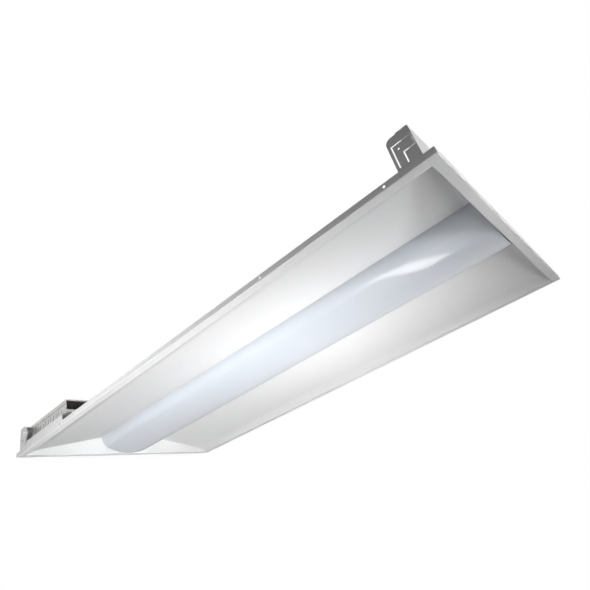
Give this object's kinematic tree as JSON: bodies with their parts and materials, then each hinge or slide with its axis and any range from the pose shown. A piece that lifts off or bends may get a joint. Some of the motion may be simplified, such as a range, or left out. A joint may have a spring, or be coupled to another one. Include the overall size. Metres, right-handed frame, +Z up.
{
  "type": "recessed troffer light",
  "caption": "Recessed lay-in ceiling troffer: white folded reflectors slope up from a flange to a central frosted trough lens, with end plates, grid clips and a driver tray on top.",
  "frame": {"origin": "centre of the flange's underside, the face that rests on the ceiling grid", "axes": "+X along the length towards the end without the driver tray, +Y across away from the driver tray, +Z up into the ceiling void"},
  "size_m": [1.213, 0.603, 0.0686],
  "materials": {
    "white_enamel": "satin white baked enamel on steel sheet",
    "galvanised_steel": "galvanised steel sheet with a faint spangle",
    "frosted_acrylic": "frosted acrylic, glossy outside",
    "board_white": "white solder mask",
    "light_chip": "phosphor window",
    "zinc_screw": "zinc plated",
    "connector_white": "moulded nylon",
    "lead_insulation_red": "insulation",
    "lead_insulation_blue": "insulation",
    "lead_insulation_black": "insulation",
    "black_rubber": "moulded",
    "driver_metal": "plain painted case",
    "terminal_grey": "moulded",
    "connector_orange": "moulded",
    "bushing_grey": "moulded",
    "ground_green": "green screw"
  },
  "bodies": {
    "housing": {"reflector_left": "white_enamel", "reflector_right": "white_enamel", "end_plate_near": "white_enamel", "end_plate_far": "white_enamel", "housing_spine": "galvanised_steel", "lens": "frosted_acrylic", "led_board_near_left": "board_white", "led_board_near_right": "board_white", "led_board_far_left": "board_white", "led_board_far_right": "board_white", "led_chips_left": "light_chip", "led_chips_right": "light_chip", "board_screws": "zinc_screw", "board_links": "connector_white", "row_connectors": "connector_white", "row_jumper": "lead_insulation_red", "lead_grommet": "black_rubber", "led_lead_positive": "lead_insulation_red", "led_lead_negative": "lead_insulation_blue", "spine_screws": "zinc_screw", "end_screws": "zinc_screw", "driver_tray": "galvanised_steel", "driver_case": "driver_metal", "driver_screws": "zinc_screw", "output_terminals": "terminal_grey", "input_terminals": "terminal_grey", "supply_connector": "connector_orange", "supply_leads": "lead_insulation_black", "supply_bushing": "bushing_grey", "ground_screw": "ground_green", "tray_bracket": "white_enamel", "bracket_screws": "zinc_screw", "tray_screws": "zinc_screw"},
    "clip_near_left": {"grid_clip_near_left": "white_enamel"},
    "clip_near_right": {"grid_clip_near_right": "white_enamel"},
    "clip_far_left": {"grid_clip_far_left": "white_enamel"},
    "clip_far_right": {"grid_clip_far_right": "white_enamel"},
    "lid": {"driver_lid": "galvanised_steel", "lid_screws": "zinc_screw"}
  },
  "joints": [
    {"name": "clip_near_left_bend", "type": "hinge", "parent": "housing", "child": "clip_near_left", "pos_m": [0.5886, -0.2997, 0.042], "axis": [0, 0, 1], "range_deg": [0, 90]},
    {"name": "clip_near_right_bend", "type": "hinge", "parent": "housing", "child": "clip_near_right", "pos_m": [0.5886, 0.2997, 0.042], "axis": [0, 0, -1], "range_deg": [0, 90]},
    {"name": "clip_far_left_bend", "type": "hinge", "parent": "housing", "child": "clip_far_left", "pos_m": [-0.5886, -0.2997, 0.042], "axis": [0, 0, -1], "range_deg": [0, 90]},
    {"name": "clip_far_right_bend", "type": "hinge", "parent": "housing", "child": "clip_far_right", "pos_m": [-0.5886, 0.2997, 0.042], "axis": [0, 0, 1], "range_deg": [0, 90]},
    {"name": "lid_lift", "type": "slide", "parent": "housing", "child": "lid", "axis": [0, 0, 1], "range_m": [0, 0.03]}
  ]
}
